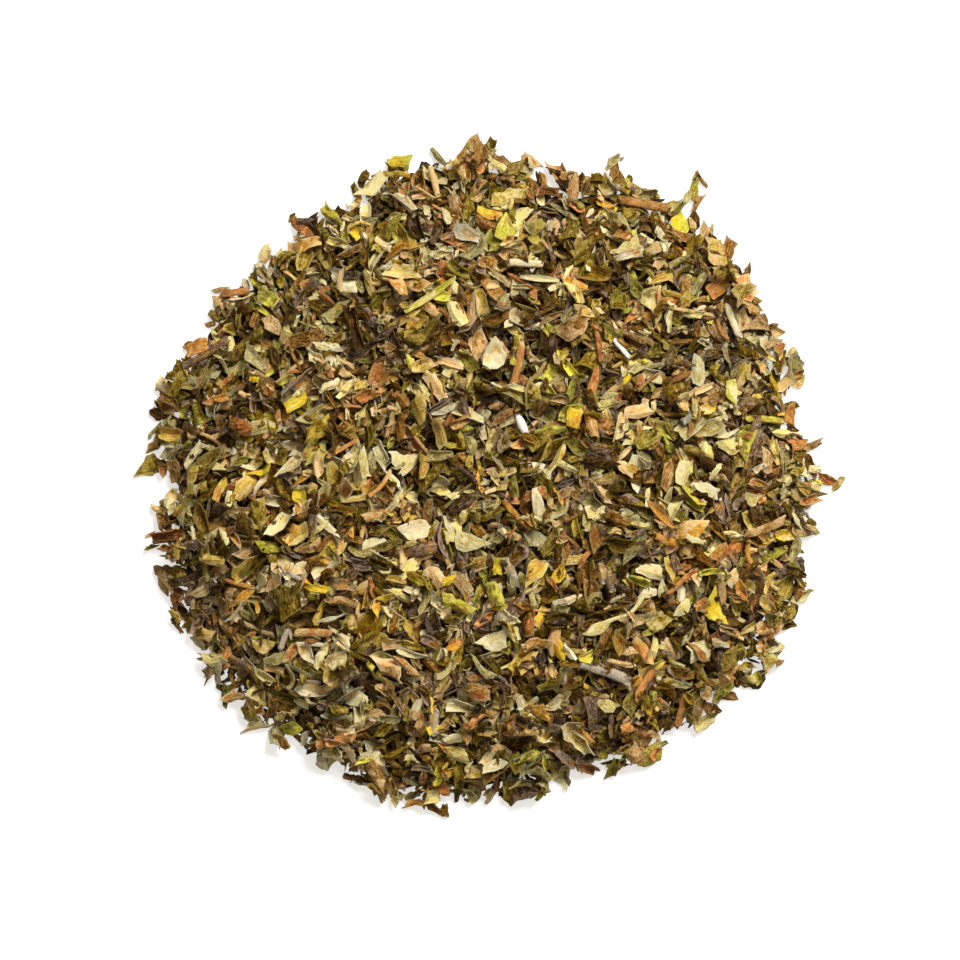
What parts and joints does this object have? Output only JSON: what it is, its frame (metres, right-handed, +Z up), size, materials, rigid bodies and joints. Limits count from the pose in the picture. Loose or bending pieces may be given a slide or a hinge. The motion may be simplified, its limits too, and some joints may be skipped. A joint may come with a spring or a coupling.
{
  "type": "heap of loose leaf tea",
  "caption": "Low round heap of loose broken leaf tea, with curled leaf, stems and a seed among the flakes, resting on a flat underside.",
  "frame": {"origin": "middle of the flat underside, on the surface that the heap lies on", "axes": "+Z up, out of the table; +Y is towards the top of the picture and +X towards its right"},
  "size_m": [0.0871, 0.086, 0.0111],
  "materials": {
    "mixed_leaf": "matte",
    "yellow_leaf": "matte",
    "golden_leaf": "matte",
    "cream_leaf": "matte",
    "sage_leaf": "matte",
    "lime_leaf": "matte",
    "olive_leaf": "matte",
    "green_leaf": "matte",
    "brown_leaf": "matte",
    "charcoal_leaf": "matte",
    "rust_leaf": "matte",
    "orange_stem": "matte",
    "cream_stem": "matte",
    "grey_stem": "matte",
    "white_pip": "matte"
  },
  "bodies": {
    "root": {"leaf_heap": "mixed_leaf", "rust_flake_top_left": "rust_leaf", "yellow_square_chip": "yellow_leaf", "golden_flake_top_left": "golden_leaf", "orange_stem_left_rim": "orange_stem", "sage_flake_top": "sage_leaf", "olive_oval_flake": "sage_leaf", "long_green_blade": "lime_leaf", "cream_flake_upper_left": "cream_leaf", "lime_flake_upper_left": "lime_leaf", "yellow_flake_left": "yellow_leaf", "orange_flake_left_tip": "golden_leaf", "long_brown_stem": "brown_leaf", "brown_flake_left": "brown_leaf", "charcoal_needle_left": "charcoal_leaf", "golden_strip_top": "golden_leaf", "cream_stick_top": "cream_stem", "big_orange_stem": "orange_stem", "yellow_flake_top_right": "yellow_leaf", "olive_flake_top": "olive_leaf", "lime_flake_top": "lime_leaf", "sage_flake_right": "sage_leaf", "dark_green_flake_right": "green_leaf", "cream_flake_middle": "cream_leaf", "orange_stem_middle": "orange_stem", "cream_stem_top": "cream_stem", "cream_strip_top": "cream_stem", "small_white_stem": "white_pip", "white_pip": "white_pip", "golden_flake_middle": "golden_leaf", "lime_oval_right": "lime_leaf", "yellow_flake_right": "yellow_leaf", "cream_stem_right": "cream_stem", "orange_stem_upper_right": "orange_stem", "orange_flake_upper_right": "orange_stem", "olive_twig_right": "lime_leaf", "orange_flake_right_rim": "orange_stem", "green_flake_right": "green_leaf", "cream_flake_right": "cream_leaf", "golden_fibrous_leaf": "golden_leaf", "orange_blade_right": "orange_stem", "cream_stick_middle": "cream_leaf", "rust_twig_middle": "rust_leaf", "charcoal_curl_middle": "charcoal_leaf", "cream_flake_lower_left": "cream_leaf", "rust_curl_left_tip": "rust_leaf", "yellow_flake_lower_left": "yellow_leaf", "yellow_strip_left": "yellow_leaf", "dark_olive_leaf": "olive_leaf", "orange_stem_lower_left": "orange_stem", "cream_stem_lower_left": "cream_stem", "grey_stem_lower_left": "grey_stem", "lime_flake_bottom_left": "lime_leaf", "brown_curl_bottom": "brown_leaf", "lime_flake_lower": "lime_leaf", "leaf_with_stalk": "sage_leaf", "yellow_flake_lower_right": "yellow_leaf", "fibrous_stick_lower": "grey_stem", "orange_stem_bottom_right": "orange_stem", "olive_flake_right_tip": "olive_leaf"}
  },
  "joints": []
}
